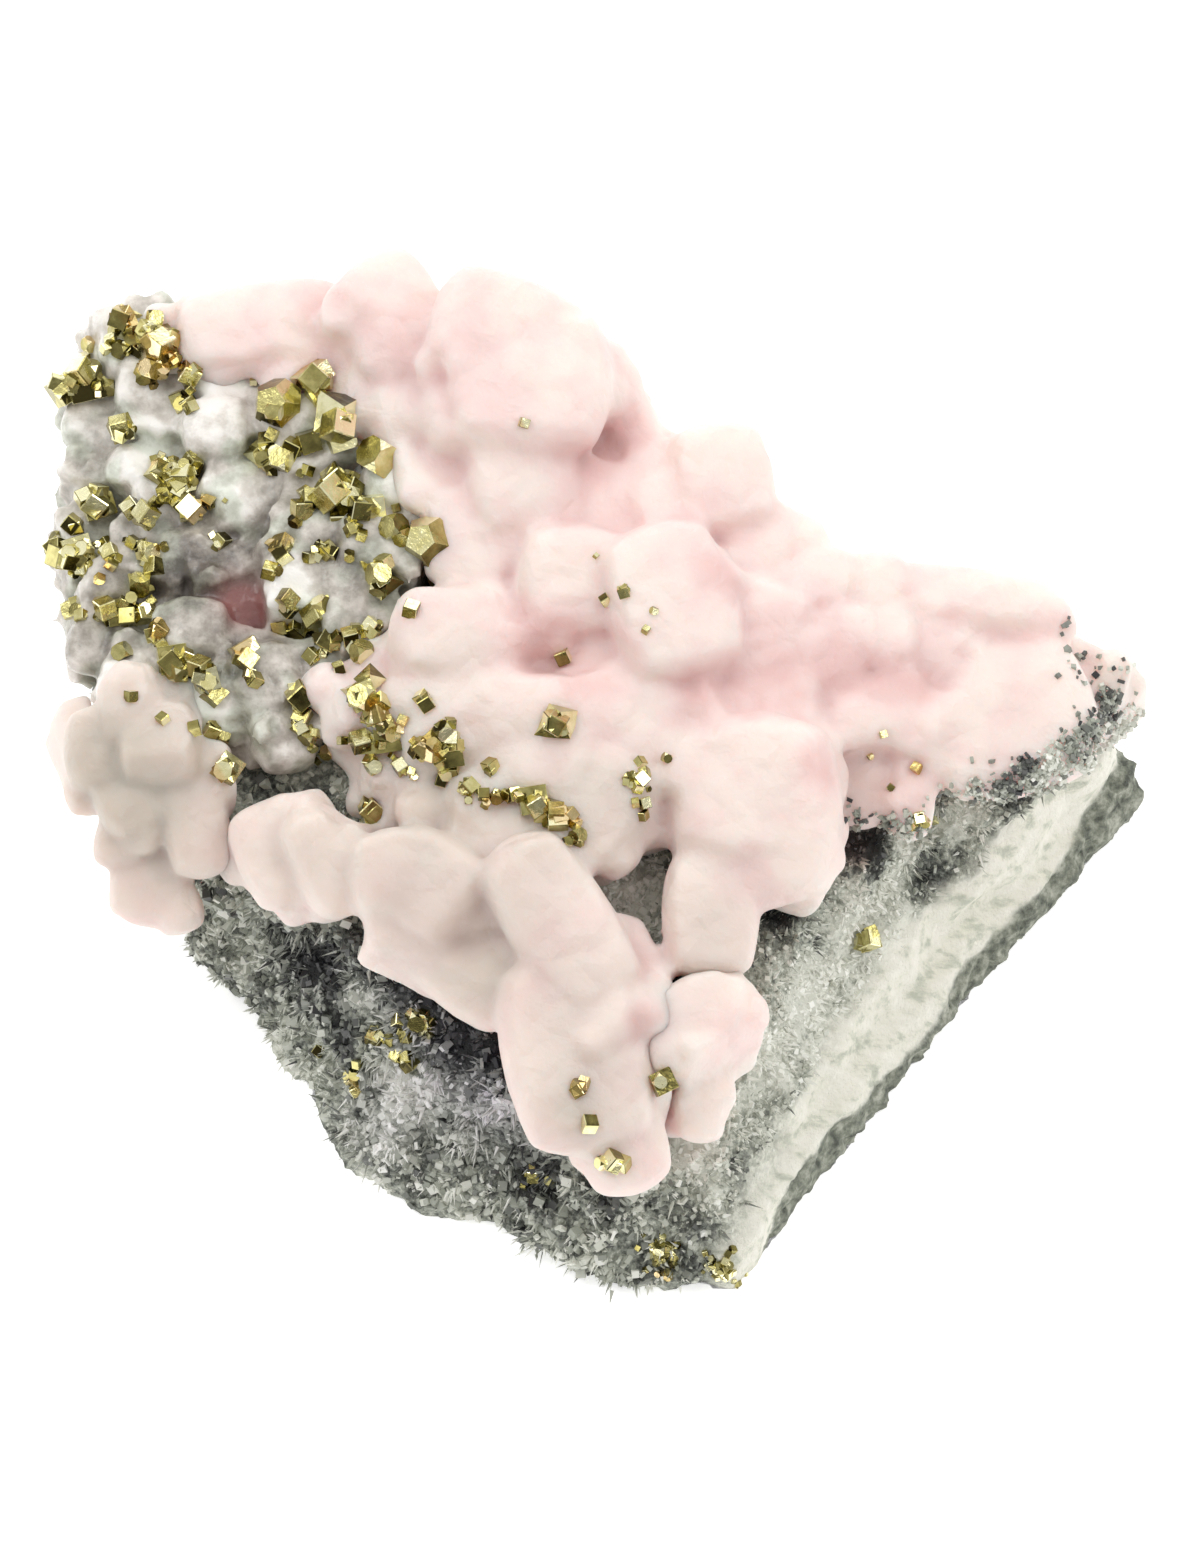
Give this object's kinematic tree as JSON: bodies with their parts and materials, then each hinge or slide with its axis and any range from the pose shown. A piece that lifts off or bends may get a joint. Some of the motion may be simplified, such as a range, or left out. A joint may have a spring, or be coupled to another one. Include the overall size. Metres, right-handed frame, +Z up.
{
  "type": "mangano calcite specimen",
  "caption": "Hand specimen of pale pink, blunt manganese-bearing calcite crystals with brassy pyrite and milky quartz on a lump of grey-green rock that rests on a flat broken foot.",
  "frame": {"origin": "middle of the flat foot that the specimen rests on", "axes": "+Z up from the foot, +X to the right of the face that is shown, -Y to the viewer"},
  "size_m": [0.0913, 0.0816, 0.0418],
  "materials": {
    "rock": "broken grey-green rock with a chalky white band, a dark rind and a glittering druse",
    "calcite": "frosted, milky pale pink, cream on the crests and deeper pink in the clefts",
    "quartz": "milky grey, glossy on small faces",
    "pyrite": "bright brassy metal with fine striations and some orange tarnish"
  },
  "bodies": {
    "root": {"rock": "rock", "quartz_crust": "quartz", "calcite_main_mass": "calcite", "calcite_front_knob": "calcite", "calcite_left_cluster": "calcite", "pyrite_left_top_pair": "pyrite", "pyrite_left_top_cluster": "pyrite", "pyrite_tarnished_cluster": "pyrite", "pyrite_bright_cube": "pyrite", "pyrite_small_left_cube": "pyrite", "pyrite_dark_ball": "pyrite", "pyrite_arc_top": "pyrite", "pyrite_arc_side": "pyrite", "pyrite_ridge_cluster": "pyrite", "pyrite_small_knob_cube": "pyrite", "pyrite_lone_cube": "pyrite", "pyrite_middle_cluster": "pyrite", "pyrite_bright_block": "pyrite", "pyrite_right_upper": "pyrite", "pyrite_right_lower": "pyrite", "pyrite_knob_pair": "pyrite", "pyrite_left_edge_ball": "pyrite", "pyrite_left_nest": "pyrite", "pyrite_flat_bright_cube": "pyrite", "pyrite_corner_cube": "pyrite", "pyrite_left_edge_nest": "pyrite", "pyrite_shining_cube": "pyrite", "pyrite_lower_left_nest": "pyrite", "pyrite_knob_foot": "pyrite", "pyrite_tall_pair": "pyrite", "pyrite_step_pair": "pyrite", "pyrite_white_edge_pair": "pyrite", "pyrite_pocket_cube": "pyrite", "pyrite_pocket_nest": "pyrite", "pyrite_pocket_edge": "pyrite", "pyrite_bronze_wedge": "pyrite", "pyrite_long_row": "pyrite", "pyrite_low_block": "pyrite", "pyrite_left_slope_block": "pyrite", "pyrite_tip_cluster": "pyrite", "pyrite_tip_middle": "pyrite", "pyrite_knob_grain": "pyrite", "pyrite_right_grain": "pyrite"}
  },
  "joints": []
}
